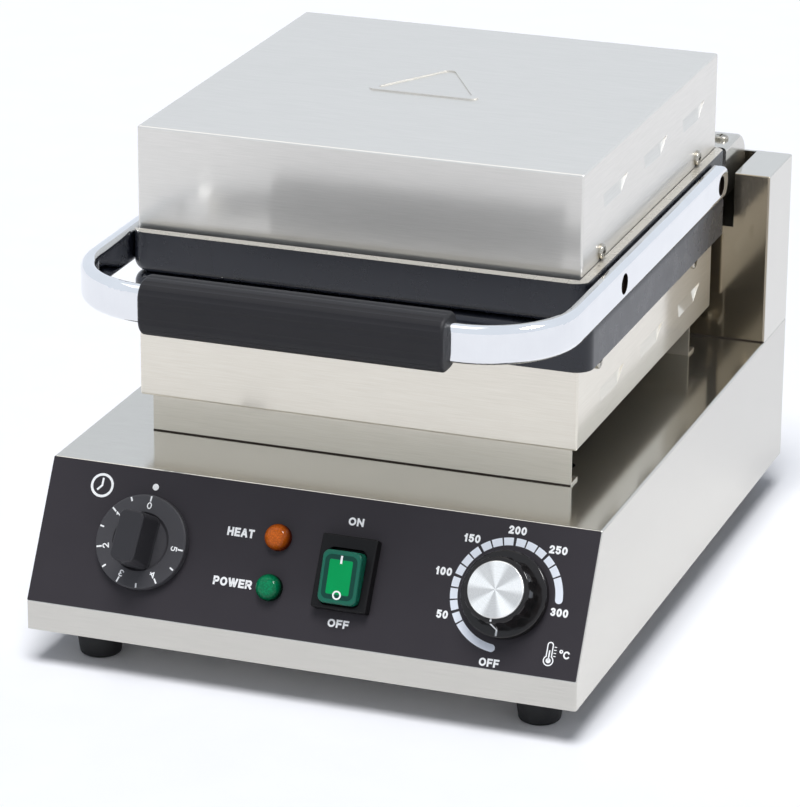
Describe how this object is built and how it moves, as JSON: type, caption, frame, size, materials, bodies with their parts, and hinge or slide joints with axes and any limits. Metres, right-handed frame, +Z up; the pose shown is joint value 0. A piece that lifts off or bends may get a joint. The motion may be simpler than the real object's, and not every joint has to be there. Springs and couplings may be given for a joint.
{
  "type": "waffle cone maker",
  "caption": "Countertop waffle cone baker: hinged cast plates with a looped bar handle on a stainless cabinet with a sloped control panel, timer, thermostat, lamps and rocker switch.",
  "frame": {"origin": "middle of the bounding box, on the surface that the feet stand on", "axes": "+Z up, -Y towards the user and the control panel, +X to the user's right"},
  "size_m": [0.25, 0.3446, 0.2276],
  "materials": {
    "stainless": "brushed",
    "cast_plate": "satin non-stick coat",
    "chrome": "polished",
    "grip_plastic": "moulded, ribbed",
    "foot_rubber": "moulded",
    "panel_film": "printed film, satin",
    "knob_plastic": "moulded",
    "knob_gloss": "glossy moulded",
    "knob_silver": "spun",
    "lens_amber": "translucent",
    "lens_green": "translucent",
    "switch_black": "moulded",
    "rocker_green": "translucent",
    "window_green": "translucent, bright",
    "screw_steel": "nickel plated",
    "plain_steel": "turned",
    "control_body": "moulded",
    "copper_tube": "drawn copper",
    "wool": "mineral wool",
    "gland_nylon": "moulded nylon"
  },
  "bodies": {
    "base": {"base_housing": "stainless", "base_floor": "stainless", "rear_tower": "stainless", "front_stand": "stainless", "rear_stand": "stainless", "lower_housing": "stainless", "lower_plate": "cast_plate", "feet": "foot_rubber", "control_overlay": "panel_film", "heat_lamp_lens": "lens_amber", "power_lamp_lens": "lens_green", "switch_frame": "switch_black", "foot_screws": "screw_steel", "foot_nuts": "screw_steel", "stand_screws": "screw_steel", "housing_screws": "screw_steel", "lower_clamp_screws": "screw_steel", "timer_nut": "screw_steel", "thermostat_nut": "screw_steel", "hinge_pin": "plain_steel", "hinge_brackets": "plain_steel", "lower_clamps": "plain_steel", "lower_heater": "plain_steel", "timer_body": "control_body", "thermostat_body": "control_body", "lamp_barrels": "control_body", "lamp_nuts": "control_body", "terminal_block": "control_body", "thermostat_capillary": "copper_tube", "lower_insulation": "wool", "inlet_gland": "gland_nylon", "inlet_nut": "gland_nylon"},
    "lid": {"upper_plate": "cast_plate", "upper_heater": "plain_steel", "upper_clamps": "plain_steel", "upper_clamp_screws": "screw_steel", "upper_insulation": "wool", "lid_shell": "stainless", "lid_screws": "screw_steel", "hinge_cover": "stainless", "hinge_cover_screws": "screw_steel", "handle_bar": "chrome", "handle_grip": "grip_plastic", "handle_screws": "screw_steel"},
    "timer_dial": {"timer_shaft": "plain_steel", "timer_knob": "knob_plastic"},
    "thermostat_dial": {"thermostat_shaft": "plain_steel", "thermostat_knob": "knob_gloss", "thermostat_knob_cap": "knob_silver"},
    "rocker": {"switch_rocker": "rocker_green", "switch_window": "window_green"}
  },
  "joints": [
    {"name": "lid_hinge", "type": "hinge", "parent": "base", "child": "lid", "pos_m": [0, 0.14875, 0.166], "axis": [-1, 0, 0], "range_deg": [0, 100]},
    {"name": "timer_turn", "type": "hinge", "parent": "base", "child": "timer_dial", "pos_m": [-0.076, -0.1438, 0.05774], "axis": [0, 0.8669, -0.4985], "range_deg": [0, 270]},
    {"name": "thermostat_turn", "type": "hinge", "parent": "base", "child": "thermostat_dial", "pos_m": [0.0886, -0.1438, 0.05774], "axis": [0, 0.8669, -0.4985], "range_deg": [0, 266]},
    {"name": "rocker_tilt", "type": "hinge", "parent": "base", "child": "rocker", "pos_m": [0.01795, -0.14885, 0.05718], "axis": [-1, 0, 0], "range_deg": [0, 12]}
  ]
}
